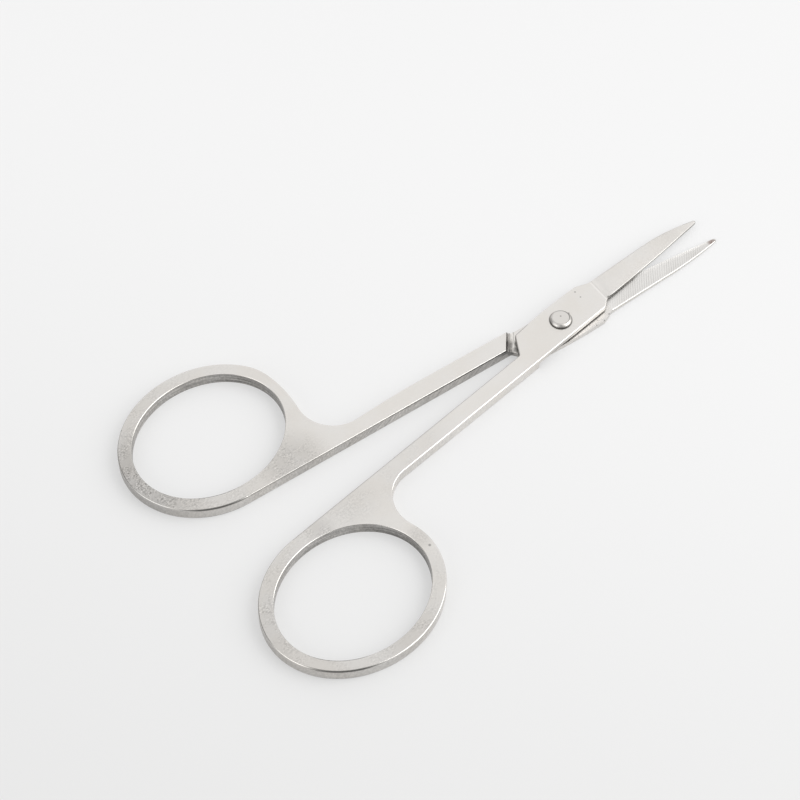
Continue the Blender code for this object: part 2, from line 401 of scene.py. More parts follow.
def rub_ring(half, bulge):
    shape = edit(half)
    moved = 0
    for vert in shape.verts:
        x, y, z = vert.co
        east, north = x - ring_center[0], y - ring_center[1]
        along = east * cos(ring_tilt) + north * sin(ring_tilt)
        across = north * cos(ring_tilt) - east * sin(ring_tilt)
        angle = atan2(across / ring_half_width, along / ring_half_length)
        extra = swelling(angle, bulge)
        long, wide = ring_half_length + extra, ring_half_width + extra
        reach = hypot(along / long, across / wide)
        out = (along / long ** 2, across / wide ** 2)
        inset = (1 - reach) * reach / hypot(*out)
        depth = min(z, stock - z)
        if x > rub_start_x or abs(inset) > rim_round * 1.1 or depth > rim_round * 1.01:
            continue
        more = rubbed_rim(x) - 1
        push = more * inset / hypot(*out)
        vert.co.x -= push * (out[0] * cos(ring_tilt) - out[1] * sin(ring_tilt))
        vert.co.y -= push * (out[0] * sin(ring_tilt) + out[1] * cos(ring_tilt))
        vert.co.z += more * depth if z < stock / 2 else -more * depth
        moved += 1
    leave(half)
    return moved


print("points of the rings' rims moved", [rub_ring(half, drawing["bulge"]) for half, drawing in drawn_as])

# %% [markdown]
# ## Milling the lap
#
# Where the halves cross, each is milled down to less than half its thickness, so that the pair
# is flat. The cutter leaves a shoulder at the end of the shank, which leans a little and is
# hollow at its foot, most of all on the lower half. A box is beveled along its lower edge to
# the cutter's round corner, its wall is leaned over, and a Boolean takes it away.

# %% The milling cutter
shoulder_reach = stop_reach + 0.42 * MM
cutter_side = 60 * MM


def mill_lap(half, corner, lean):
    bpy.ops.object.select_all(action="DESELECT")
    middle = cutter_side / 2
    bpy.ops.mesh.primitive_cube_add(size=cutter_side, location=(middle, 0, lap + middle))
    cutter = bpy.context.object
    fix_place(cutter)
    shape = edit(cutter, "EDGE")
    for edge in shape.edges:
        if all(hypot(v.co.x, v.co.z - lap) < 10 * touching for v in edge.verts):
            edge.select_set(True)
    bpy.ops.mesh.bevel(offset=corner, offset_type="OFFSET", segments=10, profile=0.5, affect="EDGES")
    for vert in bmesh.from_edit_mesh(cutter.data).verts:
        if vert.co.x < middle:
            vert.co.x -= max(0, vert.co.z - lap) * lean
    leave(cutter)
    cutter.rotation_euler.z = -stop_skew
    cutter.location = (-shoulder_reach * cos(stop_skew), shoulder_reach * sin(stop_skew), 0)
    fix_place(cutter)
    combine(half, "DIFFERENCE", cutter)


mill_lap(lower, corner=0.62 * MM, lean=0.45)
mill_lap(upper, corner=0.25 * MM, lean=0.03)
print("laps at", round(lap / MM, 3), "mm")

# %% [markdown]
# ## Drilling for the rivet
#
# Both plates are drilled, and the lower one is also countersunk from below, where the rivet's
# tail is hammered out. A cylinder is the drill. A short wide one and a second one with its
# upper rim drawn in are the countersink.

# %% The drill
shaft_radius = 0.9 * MM
tail_radius = 1.3 * MM
tail_rim = 0.12 * MM
tail_flare = 0.3 * MM
fit = 0.04 * MM


def drill(half, radius, low, high, taper=1.0):
    bpy.ops.object.select_all(action="DESELECT")
    middle = (low + high) / 2
    bpy.ops.mesh.primitive_cylinder_add(vertices=64, radius=radius, depth=high - low,
                                        location=(0, 0, middle))
    bit = bpy.context.object
    fix_place(bit)
    for vert in bit.data.vertices:
        if vert.co.z > middle:
            vert.co.x *= taper
            vert.co.y *= taper
    combine(half, "DIFFERENCE", bit)


for half in (lower, upper):
    drill(half, shaft_radius + fit, -stock, 2 * stock)
drill(lower, tail_radius + fit, -stock, tail_rim)
drill(lower, tail_radius + fit, tail_rim - 10 * touching, tail_rim + tail_flare,
      taper=(shaft_radius + fit) / (tail_radius + fit))
print("bores of", round(2 * (shaft_radius + fit) / MM, 2), "mm")

# %% [markdown]
# ## Marking how each face was worked
#
# The finger hole and the shank's inner edge keep the rough walls that the press sheared, while the outer
# walls were belted smooth. The shoulder keeps the cutter's streaks, and the rims are rubbed bright. Each
# kind is marked now, while it is easy to tell, and the steel reads it later, both for its finish and for
# the painted shade that some of them take.

# %% Mark sheared walls, rims and the shoulder
def mark(half, name, belongs):
    layer = half.data.attributes.new(name, "FLOAT", "CORNER")
    chosen = [face for face in half.data.polygons if belongs(face.center, face.normal)]
    for face in chosen:
        for corner in face.loop_indices:
            layer.data[corner].value = 1.0
    return len(chosen)


def is_hole_wall(place, normal):
    inward = Vector((ring_center[0], ring_center[1], place.z)) - place
    return abs(normal.z) < 0.6 and inward.length < ring_half_length and normal.dot(inward) > 0


def is_inner_edge(place, normal):
    shank = shank_end_x < place.x < -stop_reach and place.y < 2 * MM and normal.y < -0.5
    # The plate's end at the stop is marked with the inner edge, so that it takes the same painted shade.
    stop = -9 * MM < place.x < -3 * MM and place.y < shank_inner_y and normal.x < -0.4
    return abs(normal.z) < 0.6 and (shank or stop)


def is_rim(place, normal):
    depth = min(place.z, stock - place.z)
    rounded_off = 0 < depth < rim_round * rubbed_rim(place.x) and abs(normal.z) < 0.999
    return rounded_off and place.x < plate_front_x


# The rim over the inner edge is marked for its painted shade and its duller gloss.
def is_inner_rim(place, normal):
    along_shank = -0.3 * MM < place.y < shank_inner_y + 2 * rim_round and normal.y < -0.05
    at_stop = place.y < shank_inner_y and normal.x < -0.1 and place.x < -3 * MM
    return is_rim(place, normal) and place.x > shank_end_x and (along_shank or at_stop)


# The thin wall of a cutting edge is marked for its painted shade.
def is_cutting_wall(place, normal):
    return place.x > heel_x + 0.3 * MM and place.y > 0 and abs(normal.z) < 0.97


def is_shoulder(place, normal):
    return -10 * MM < place.x < -4 * MM and place.z > lap and normal.x > 0.05


rules = {"hole_wall": is_hole_wall, "inner_edge": is_inner_edge, "rim": is_rim,
         "inner_rim": is_inner_rim, "shoulder": is_shoulder, "cutting_wall": is_cutting_wall}
for half in (lower, upper):
    print(half.name, {name: mark(half, name, rule) for name, rule in rules.items()})

# %% [markdown]
# ## Grinding the blades
#
# The blades are ground after stamping. They thin toward the tip, the lapped face is hollow
# across its width, so that the two touch only along their cutting edges, and a fine bevel runs
# along the back. The outer face is ground from a crease across the blade's root, and slopes
# down to a thin cutting edge.
#
# Bisecting planes first cut the blade across and along, into rows of points. The points then
# move by simple rules for the thinning and the hollow.

# %% Rows of points along the blade
blade_rows = 24
blade_shares = (0.1, 0.22, 0.36, 0.5, 0.64, 0.78, 0.9)


def cut_faces(half, chosen, point, direction):
    """Cut the chosen faces along the plane through a point."""
    shape = edit(half, "FACE")
    for face in shape.faces:
        if chosen(face):
            face.select_set(True)
    bpy.ops.mesh.bisect(plane_co=point, plane_no=direction, threshold=touching)
    leave(half)


def reaches_blade(face):
    return max(v.co.x for v in face.verts) > heel_x - 0.5 * MM


def is_blade_top(face):
    return min(v.co.x for v in face.verts) > heel_x - 10 * touching and face.normal.z > 0.9


def slice_blade(half, tip_x, tip_y):
    for i in range(blade_rows + 1):
        x = heel_x + (tip_x - tip_round - heel_x) * i / blade_rows
        cut_faces(half, reaches_blade, (x, 0, 0), (1, 0, 0))
    for share in blade_shares:
        at_heel = back_y + (cutting_y - back_y) * share
        cut_faces(half, is_blade_top, (heel_x, at_heel, 0), (tip_y - at_heel, heel_x - tip_x, 0))


for half, drawing in drawn_as:
    slice_blade(half, *drawing["tip"])
    print(half.name, "sliced into", len(half.data.polygons), "faces")

# %% The crease at the root of the outer face
crease_x = 7.35 * MM
crease_width = 0.16 * MM
crease_step = 0.06 * MM
crease_slant = 0.15


def reaches_crease(face):
    return max(v.co.x for v in face.verts) > crease_x - 0.5 * MM


def step_crease(half):
    for x in (crease_x, crease_x + crease_width):
        cut_faces(half, reaches_crease, (x, cutting_y, 0), (1, crease_slant, 0))
    shape = edit(half)
    for vert in shape.verts:
        past = vert.co.x + crease_slant * (vert.co.y - cutting_y) - crease_x
        if past > crease_width / 2 and vert.co.z < lap / 2:
            vert.co.z += crease_step
    leave(half)


for half in (lower, upper):
    step_crease(half)
print("the outer faces step in by", round(crease_step / MM, 3), "mm")

# %% Thinning and hollowing
hollow = 0.07 * MM
edge_thickness = 0.22 * MM


def share_of(value):
    """A value kept between 0 and 1."""
    return min(1, max(0, value))


def drop(x):
    share = max(0, (x - heel_x) / (full_reach - heel_x))
    return -tip_drop * (0.25 * share + 0.75 * share ** 2)


def thinning(x, tip_x):
    """What is ground off the outer face at the cutting edge."""
    start = share_of((x - heel_x - 0.1 * MM) / (0.9 * MM))
    end = share_of((tip_x - x) / (6 * MM))
    return start * end * (lap + drop(x) - edge_thickness)


def back_at(x, tip_x, tip_y):
    points = blade_back(tip_x, tip_y)
    for (x0, y0), (x1, y1) in zip(points[:-1], points[1:]):
        if x <= x1:
            return y0 + (y1 - y0) * (x - x0) / (x1 - x0)
    return points[-1][1]


def grind(half, tip_x, tip_y, outer_too):
    shape = edit(half)
    for vert in shape.verts:
        x, y, z = vert.co
        if x <= heel_x:
            continue
        share = (x - heel_x) / (tip_x - tip_round - heel_x)
        cutting = cutting_y + (tip_y + tip_round - cutting_y) * share
        back = back_at(x, tip_x, tip_y)
        across = share_of((y - back) / max(cutting - back, tip_round))
        if z > lap * 0.97:
            fade = share_of((x - heel_x) / (1.5 * MM)) * share_of((tip_x - x) / (3 * MM))
            vert.co.z -= hollow * (1 - (2 * across - 1) ** 4) * fade
        if z < lap / 2:
            vert.co.z += thinning(x, tip_x) * across
        depth = z / lap
        vert.co.z += drop(x) * (depth - 2 if outer_too else depth)
    leave(half)


for half, drawing in drawn_as:
    grind(half, *drawing["tip"], outer_too=half == upper)
print("the tips drop by", round(tip_drop / MM, 2), "mm")

# %% The bevel along the back of the ground face
back_bevel = 0.07 * MM


def bevel_back(half, tip_x, tip_y):
    shape = edit(half, "EDGE")
    for edge in shape.edges:
        middle = (edge.verts[0].co + edge.verts[1].co) / 2
        normals = [face.normal.z for face in edge.link_faces]
        if middle.x > heel_x + 0.2 * MM and middle.x < tip_x - 0.5 * MM and len(normals) == 2:
            lapped = max(normals) > 0.9 and abs(min(normals)) < 0.4 and middle.z > lap * 0.3
            if lapped and middle.y < back_at(middle.x, tip_x, tip_y) + 0.3 * MM:
                edge.select_set(True)
    chosen = sum(edge.select for edge in shape.edges)
    bpy.ops.mesh.bevel(offset=back_bevel, segments=1, affect="EDGES", clamp_overlap=False)
    leave(half)
    return chosen


def is_ground(place, normal):
    return place.x > plate_back_x and normal.z > 0.5


for half, drawing in drawn_as:
    print(half.name, mark(half, "ground", is_ground), "ground faces and",
          bevel_back(half, *drawing["tip"]), "beveled edges")

# %% [markdown]
# ## Setting the halves on the table
#
# The lower half lies as drawn. The upper one is turned over about its length, which brings its
# lapped face down onto the other's. Each is then turned by half the angle that the pair lies
# open by. The turns go into the meshes, so both objects stay at the origin.

# %% Turn the halves to their places
def settle(half, turned_over, angle):
    edit(half, chosen="SELECT")
    bpy.ops.mesh.normals_make_consistent(inside=False)
    leave(half)
    place = Matrix.Rotation(angle, 4, "Z")
    if turned_over:
        place = place @ Matrix.Translation((0, 0, stock)) @ Matrix.Rotation(pi, 4, "X")
    half.data.transform(place)
    shade(half, sharp_from=radians(32))


settle(lower, turned_over=False, angle=-lying_open / 2)
settle(upper, turned_over=True, angle=lying_open / 2)
for half in (lower, upper):
    print(half.name, [round(side / MM, 2) for side in half.dimensions], "mm")

# %% [markdown]
# ## The rivet
#
# The rivet is turned and then set with a hammer: a low domed head, planished to a flat that
# leans a little, a shaft, and a tail spread flush with the lower half. The head is spun from a
# flat line about its own axis, which the hammer left a sixth of a millimetre off the shaft's,
# and the flat is cut with one leaning plane.

# %% Spin the rivet
head_radius = 1.52 * MM
seat = stock + 0.03 * MM
head_center = Vector((0.11, 0.12, 0)) * MM


def spin_profile(name, profile, center):
    """A flat line of (radius, height) points, stood upright and spun about its left end."""
    piece = draw_lines(name, [profile], closed=False)
    only(piece)
    bpy.ops.object.convert(target="MESH")
    edit(piece, chosen="SELECT")
    bpy.ops.transform.rotate(value=-pi / 2, orient_axis="X", center_override=(0, 0, 0))
    upright = bmesh.from_edit_mesh(piece.data)
    print(name, "stands up to", round(max(v.co.z for v in upright.verts) / MM, 2), "mm")
    bpy.ops.mesh.spin(steps=96, angle=2 * pi, center=(0, 0, 0), axis=(0, 0, 1))
    bpy.ops.mesh.select_all(action="SELECT")
    bpy.ops.mesh.remove_doubles(threshold=10 * touching)
    bpy.ops.mesh.normals_make_consistent(inside=False)
    bpy.ops.transform.translate(value=center)
    leave(piece)
    return piece


rivet = spin_profile("rivet_steel", [
    (0, seat + 0.60 * MM), (0.5 * MM, seat + 0.59 * MM), (0.9 * MM, seat + 0.55 * MM),
    (1.1 * MM, seat + 0.49 * MM), (1.25 * MM, seat + 0.41 * MM), (1.38 * MM, seat + 0.31 * MM),
    (1.47 * MM, seat + 0.20 * MM), (head_radius, seat + 0.11 * MM), (1.51 * MM, seat + 0.05 * MM),
    (1.46 * MM, seat), (0, seat)], head_center)
shaft = spin_profile("rivet_shaft", [
    (0, seat + 0.02 * MM), (shaft_radius, seat + 0.02 * MM), (shaft_radius, tail_rim + tail_flare),
    (tail_radius, tail_rim), (tail_radius, 0.03 * MM), (tail_radius - 0.03 * MM, 0),
    (0, 0)], (0, 0, 0))

# %% The planished flat, and one body
away = Vector((0.629, 0.777, 0))
flat_height = 0.43 * MM
flat_lean = 0.08

edit(rivet, "FACE", chosen="SELECT")
bpy.ops.mesh.bisect(plane_co=(0, 0, seat + flat_height), plane_no=away * flat_lean + Vector((0, 0, 1)),
                    use_fill=True, clear_outer=True, threshold=touching)
leave(rivet)
combine(rivet, "UNION", shaft)
shade(rivet, sharp_from=radians(40))
print("the rivet's top is at", round(max(v.co.z for v in rivet.data.vertices) / MM, 2), "mm")

# %% [markdown]
# ## The steel
#
# Bare steel has almost no colour of its own. What tells it apart is how its surface was worked,
# so one material for all three pieces is built up in layers, one for each kind of work. The
# layers are masked by the place on the object and by the way a face looks, so no picture is
# needed. Sums on sockets are written as plain expressions, through a small wrapper.

# %% A wrapper for sums on sockets
class Wire:
    def __init__(self, bench, socket):
        self.bench, self.socket = bench, socket

    def math(self, operation, *values):
        return self.bench.node("ShaderNodeMath", {"operation": operation}, dict(enumerate(values)))

    def __add__(self, other):
        return self.math("ADD", self, other)

    def __sub__(self, other):
        return self.math("SUBTRACT", self, other)

    def __rsub__(self, other):
        return self.math("SUBTRACT", other, self)

    def __mul__(self, other):
        return self.math("MULTIPLY", self, other)

    def __abs__(self):
        return self.math("ABSOLUTE", self)

    __radd__, __rmul__ = __add__, __mul__

    def between(self, low, high):
        """0 below low, 1 above high, and smooth between them. It falls if high is the lower."""
        return self.bench.node("ShaderNodeMapRange", {"interpolation_type": "SMOOTHSTEP"},
                               {"Value": self, "From Min": low, "From Max": high})


class Bench:
    def __init__(self, owner, shader="Principled BSDF"):
        owner.use_nodes = True
        self.owner, self.tree = owner, owner.node_tree
        self.shader = self.tree.nodes[shader]

    def node(self, kind, settings=None, inputs=None, output=0):
        made = self.tree.nodes.new(kind)
        for key, value in (settings or {}).items():
            setattr(made, key, value)
        for key, value in (inputs or {}).items():
            if isinstance(value, Wire):
                self.tree.links.new(value.socket, made.inputs[key])
            else:
                made.inputs[key].default_value = value
        return Wire(self, made.outputs[output])

    def parts(self, vector):
        split = self.node("ShaderNodeSeparateXYZ", {}, {0: vector}).socket.node
        return [Wire(self, split.outputs[i]) for i in range(3)]

    def blend(self, share, first, second):
        """A colour mix: first where share is 0 and second where it is 1."""
        return self.node("ShaderNodeMix", {"data_type": "RGBA"}, {0: share, 6: first, 7: second}, 2)

    def toward(self, vector, direction):
        """How far a vector runs along a fixed direction."""
        return self.node("ShaderNodeVectorMath", {"operation": "DOT_PRODUCT"},
                         {0: vector, 1: tuple(direction)}, 1)

    def feed(self, socket, value):
        self.tree.links.new(value.socket, self.shader.inputs[socket])


print("ready: one class for sums, one for nodes")

# %% [markdown]
# Every layer of the steel asks for the same things: the place in millimetres, how much a face
# looks up or down, the marks, and noise of several grains. They are made once for each material
# and kept together. The cutter's grain is stretched along the shoulder.

# %% What the layers share
marks = (*rules, "ground")


class Surface:
    def __init__(self, bench, turned):
        self.bench, self.turned = bench, turned
        self.place = bench.node("ShaderNodeVectorMath", {"operation": "SCALE"}, {
            0: bench.node("ShaderNodeTexCoord", output=3), "Scale": 1 / MM})
        self.x, self.y, self.z = bench.parts(self.place)
        self.upright = abs(bench.parts(bench.node("ShaderNodeNewGeometry", output=1))[2])
        self.face = self.upright.between(0.86, 0.98)
        self.wall = self.upright.between(0.40, 0.15)
        for name in marks:
            setattr(self, name, bench.node("ShaderNodeAttribute", {"attribute_name": name}, output=2))
        self.speckle = self.grain(5.0, detail=4.0, rough=0.7)
        self.cloud = self.grain(0.20)
        self.fleck = self.grain(3.2, stretch=(1.0, 1.3, 1.0), detail=4.0, rough=0.75)
        self.cluster = self.grain(0.45, rough=0.6)
        self.lengthwise = self.grain(4.6, stretch=(0.03, 0.03, 1.0), rough=0.6)
        self.slanting = self.grain(3.4, stretch=(1.0, 1.0, 0.6), detail=4.0, rough=0.75)
        facing = turned - stop_skew
        self.milled = self.grain(7.0, rough=0.6, place=self.at(
            self.x * cos(facing) + self.y * sin(facing),
            (self.y * cos(facing) - self.x * sin(facing)) * 0.06, self.z))

    def at(self, x, y, z=0.0):
        return self.bench.node("ShaderNodeCombineXYZ", {}, {0: x, 1: y, 2: z})

    def grain(self, scale, stretch=(1, 1, 1), detail=3.0, rough=0.55, place=None):
        """Noise that swings about 0, in waves of about one millimetre over the scale."""
        moved = self.bench.node("ShaderNodeMapping", {}, {"Vector": place or self.place, "Scale": stretch})
        return self.bench.node("ShaderNodeTexNoise", {}, {
            "Vector": moved, "Scale": scale, "Detail": detail, "Roughness": rough}) - 0.5

    def distance(self, center, place=None):
        return self.bench.node("ShaderNodeVectorMath", {"operation": "DISTANCE"},
                               {0: place or self.place, 1: tuple(center)}, 1)

    def near(self, center, inner, outer):
        """1 within the inner distance of a point and 0 past the outer one, in millimetres."""
        return self.distance(center).between(outer, inner)


print("the steel reads", marks)

# %% [markdown]
# The tumbled faces carry a fine speckle over slow clouds. The rings are handled most, so they are darker
# there, with small dark flecks in clusters, mostly at the outer end of each ring and where it meets the
# shank. There are a few small dents and specks of dirt as well, each given by its place and its size. The
# first two in the list are not dents but painted shade, in the slot at the foot of the lower half's
# shoulder.

# %% The tumbled faces
dents_and_slot_shade = [
    # The first two are painted shade in the slot at the foot of the lower half's shoulder.
    ((-8.3, 0.85, 0.75), 0.70), ((-7.4, 0.78, 0.70), 0.60), ((3.95, -3.1, 0.75), 0.16),
    ((5.35, -3.2, 0.75), 0.20), ((6.3, -3.35, 0.75), 0.22), ((4.6, -2.6, 0.82), 0.13),
    ((4.85, 2.50, 1.9), 0.17), ((4.86, 1.37, 1.9), 0.15), ((6.6, -2.81, 0.82), 0.22),
    ((-57.5, 23.46, 1.85), 0.25), ((-36.87, -16.36, 1.9), 0.25),
    ((0.33, 0.41, 2.35), 0.17), ((1.72, 0.30, 1.9), 0.20),
]
dent_and_shade_darkness = 0.5


def tumbled_faces(on, darker_places, paleness):
    worn = on.x.between(-30.0, -62.0) * 0.62
    for center, inner_reach, outer_reach, share in darker_places:
        worn = worn + on.near(center, inner_reach, outer_reach) * share
    on.worn = worn * on.face
    on.flecked = on.worn * on.cluster.between(-0.14, 0.10)
    tone = 0.95 * paleness + on.speckle * 0.07 + on.cloud * 0.10 - worn * 0.22
    tone = tone + (on.fleck * 1.8 - 0.05) * on.flecked
    for center, size in dents_and_slot_shade:
        tone = tone * (1 - on.near(center, size * 0.4, size) * dent_and_shade_darkness)
    return tone


print("small dents", len(dents_and_slot_shade))

# %% [markdown]
# The sheared walls carry fine lines that run along them in the finger hole and slanting ones on the shank,
# and just under the rim the press left a darker burr. Much of their darkness is painted shade. The finger
# hole's walls are painted dark for the shaded floor that they mirror. The shank's inner edge and its burr
# are painted darker toward the joint, where the other shank shades them, and most of all by the stop. The
# rim over the inner edge is painted a little darker as well.

# %% The sheared walls and their painted shade
burr_low, burr_high = 1.68, 1.78


def sheared_and_shaded_walls(on, tone):
    x, z = on.x, on.z
    # Painted shade: the finger hole's walls mirror a shaded floor.
    lines_and_shade = 0.34 + x.between(-44.0, -39.5) * 0.22 - x.between(-45.0, -53.0) * 0.12
    lines_and_shade = lines_and_shade - on.lengthwise * 1.2 - on.slanting * 0.6
    tone = tone * (1 - on.hole_wall * on.wall * lines_and_shade)
    hatch = on.grain(3.0, rough=0.6, place=on.at(x - z * 0.9, on.y * 0.1))
    # Painted shade: the inner edge darkens toward the joint, where the other shank shades it.
    torn_and_shaded = x.between(-46.0, -34.0) * (0.24 + x.between(-24.0, -9.0) * 0.14)
    torn_and_shaded = torn_and_shaded - on.slanting * 0.4 - hatch * x.between(-44.0, -36.0) * 0.8
    tone = tone * (1 - on.inner_edge * on.wall * torn_and_shaded)
    burr = z.between(burr_low - 0.10, burr_low) * z.between(burr_high + 0.06, burr_high)
    # The burr is painted darker toward the joint, and the rim over the inner edge is painted darker too,
    # both as painted shade.
    burr = burr * (0.2 + x.between(-36.0, -14.0) * 0.6)
    return tone * (1 - on.inner_edge * burr) * (1 - on.inner_rim * 0.18)


print("the burr runs from", burr_low, "to", burr_high, "mm up the wall")

# %% [markdown]
# The shoulder keeps the cutter's streaks. Its near end is painted lighter, a painted light where little of
# the sky reaches it, and its top is painted a little darker, a painted shade. The slot at its foot, under
# the upper plate's stop, and the walls at the stop are painted dark, as painted shade.

# %% The milled shoulder
slot_shade_place = (-6.60, 1.35, 0.82)


def milled_shoulder(on, tone):
    # Painted light on the near end and painted shade along the top.
    lit = 0.38 - on.y.between(0.7, 2.2) * 0.42 - on.z.between(1.66, 1.82) * 0.16
    tone = tone * (1 + on.shoulder * (on.milled * 2.4 + lit))
    # Painted shade in the slot at the shoulder's foot and on the walls at the stop.
    slot_shade = on.near(slot_shade_place, 0.25, 0.65) * on.z.between(0.95, 0.85)
    at_stop = on.x.between(-11.0, -9.0) * on.z.between(1.0, 1.1) * on.z.between(1.85, 1.75)
    slot_shade = slot_shade + on.inner_edge * at_stop
    return tone * (1 - slot_shade.between(0, 1) * (0.55 + on.milled * 1.2))


print("dirt in the corner at", slot_shade_place, "mm")

# %% [markdown]
# The outer walls are belted smooth, the more so near the joint, and from the shanks on they are painted a
# little lighter, as painted light. The thin wall of a cutting edge is painted dark, darkest at the root,
# as painted shade. From the plate on the walls are painted a little darker, and the upper plate's wall
# darker still, with a darker line at its foot over the gap, as painted shade. A short run of each ring's
# rim is painted dark, a painted reflection of the dark screen, and a short run of rim beside the shoulder
# is painted dark as painted shade. The foot of every wall is painted darker, as painted shade where it
# meets the table.

# %% The outer walls, the rims and their painted shade
rim_shade_darkness = 0.55


def outer_walls(on, tone):
    x, z = on.x, on.z
    smooth = 0.85 - x.between(-24.0, -14.0) * 0.45
    tone = tone * (1 + on.wall * on.slanting * smooth + on.rim * 0.08)
    # Painted shade: the thin wall of a cutting edge, darkest at the root.
    tone = tone * (1 - on.cutting_wall * (0.46 + x.between(19.0, 10.0) * 0.30))
    outer = on.wall * (1 - on.hole_wall) * (1 - on.inner_edge) * (1 - on.cutting_wall)
    # Painted shade: the walls from the plate on, most on the upper plate's wall and at its foot over the
    # gap.
    at_plate = outer * x.between(-6.0, -3.0) * (1 - on.ground)
    upper_wall_shade = z.between(0.9, 1.0) * (0.16 + z.between(1.25, 1.12) * 0.45)
    tone = tone * (1 - at_plate * (0.06 + upper_wall_shade))
    # Painted light: the outer walls from the shanks on are lightened.
    return tone * (1 + outer * x.between(-54.0, -43.0) * 0.12)


def rim_and_foot_shade(on, tone, painted_dark_rims):
    # Painted reflection and painted shade on short runs of rim.
    for center, inner_reach, outer_reach in painted_dark_rims:
        tone = tone * (1 - on.rim * on.near(center, inner_reach, outer_reach) * rim_shade_darkness)
    # Painted shade at the foot of every wall, where it meets the table.
    foot = on.z.between(0.20, 0.06) * (0.32 + on.x.between(-18.0, -10.0) * 0.14)
    return tone * (1 - on.wall.between(0, 0.6) * foot)


print("grime takes", rim_shade_darkness, "of a rim's light")

# %% [markdown]
# A ring of painted shade lies round the rivet's head, over the gap under it, and the brink of its
# planished flat is painted dark, most of all on the right, as painted shade. At the crease a painted
# highlight and a line of painted shade run side by side, and the slope beyond them is painted a little
# darker, as painted shade.

# %% Round the rivet, and at the crease
flat_center = head_center / MM + away * 0.15


def round_the_rivet(on, tone):
    level = on.at(on.x, on.y)
    from_head = on.distance(head_center / MM, level)
    # Painted shade round the foot of the rivet's head.
    head_shade = from_head.between(1.38, 1.50) * from_head.between(1.68, 1.58)
    tone = tone * (1 - head_shade * on.z.between(2.25, 2.08) * on.z.between(1.80, 1.88) * 0.6)
    from_flat = on.distance(flat_center, level)
    # Painted shade along the brink of the flat.
    brink = from_flat.between(1.10, 1.20) * from_flat.between(1.34, 1.25) * on.z.between(2.15, 2.22)
    far_side = (on.x * 0.99 + on.y * 0.12 - 0.10).between(0.0, 1.1)
    return tone * (1 - brink * (0.20 + far_side * 0.45))


def crease_lines(on, tone):
    """The upper half is turned over, so its crease slants the other way."""
    across, along = cos(on.turned), sin(on.turned)
    slant = -crease_slant if on.turned > 0 else crease_slant
    past = on.x * (across - slant * along) + on.y * (along + slant * across)
    past = past - (crease_x + crease_slant * cutting_y) / MM
    flat = on.face * (1 - on.ground)
    # A painted highlight and a line of painted shade at the crease.
    tone = tone + past.between(-0.30, -0.16) * past.between(0.04, -0.04) * flat * 0.09
    tone = tone - past.between(-0.04, 0.04) * past.between(0.24, 0.14) * flat * 0.06
    # Painted shade on the slope beyond the crease.
    sloped = past.between(0.1, 1.4) * past.between(19.5, 13.0) * 0.17
    return tone * (1 - sloped * flat)


print("the flat's centre is at", [round(value, 2) for value in flat_center], "mm")

# %% [markdown]
# The ground faces carry the stone's lines, a third of a millimetre apart. A wave makes them, on a place
# that wanders a little, so that no line is quite straight, and noise stretched along the same track adds
# scratches. The lines fade at the tip. The blade is painted lighter at its root, a painted light where the
# other blade shades it, and darker toward the tip, a painted shade.

# %% The ground faces
grind_line = radians(51.0)
grind_pitch = 0.33


def ground_faces(on, tone):
    x, y = on.x, on.y
    across = x * cos(grind_line - pi / 2) + y * sin(grind_line - pi / 2)
    along = x * cos(grind_line) + y * sin(grind_line)
    track = on.at(across + on.grain(0.5, detail=2.0) * 0.10, along * 0.06)
    lines = on.bench.node("ShaderNodeTexWave", {"wave_profile": "SIN"},
                          {"Vector": track, "Scale": pi / 10 / grind_pitch})
    scratches = on.grain(6.0, detail=2.0, rough=0.7, place=track)
    on.blade = on.ground * on.upright.between(0.80, 0.95) * x.between(5.8, 7.0)
    strength = on.blade * x.between(26.5, 22.0) * (x.between(6.0, 14.0) * 0.5 + 0.5)
    on.furrow = lines.between(0.55, 1.0) * strength * (on.cluster.between(-0.25, 0.1) * 0.5 + 0.5)
    tone = tone - on.furrow * 0.19 - on.blade * (scratches + on.speckle) * 0.12
    # Painted light at the blade's root and painted shade toward its tip.
    return tone - on.blade * (x.between(17.0, 25.5) * 0.04 - x.between(11.0, 7.0) * 0.05)


print("the stone's lines are", grind_pitch, "mm apart")

# %% [markdown]
# The tone is laid on a warm grey that drifts a little with the clouds and is cooler on the
# ground faces. A brown stain sits at the lower blade's tip. What is worn, sheared or milled is
# also duller, and the rims are glossier, but not the one over the sheared inner edge.

# %% The steel of the halves and the rivet
warm_grey = (0.735, 0.708, 0.672, 1)
clouded_grey = (0.73, 0.71, 0.684, 1)
ground_grey = (0.727, 0.717, 0.700, 1)
stain_brown = (0.20, 0.13, 0.11, 1)
stain_place = (26.6, -2.25, 0.4)


def steel_color(on, tone):
    grey = on.bench.blend(on.cloud.between(-0.15, 0.15), warm_grey, clouded_grey)
    grey = on.bench.blend(on.blade * 0.7, grey, ground_grey)
    color = on.bench.node("ShaderNodeVectorMath", {"operation": "SCALE"}, {0: grey, "Scale": tone})
    stain = on.near(stain_place, 0.2, 0.9) * (on.fleck + 0.7).between(0.35, 0.75) * on.ground
    return on.bench.blend(stain * 0.8, color, stain_brown)


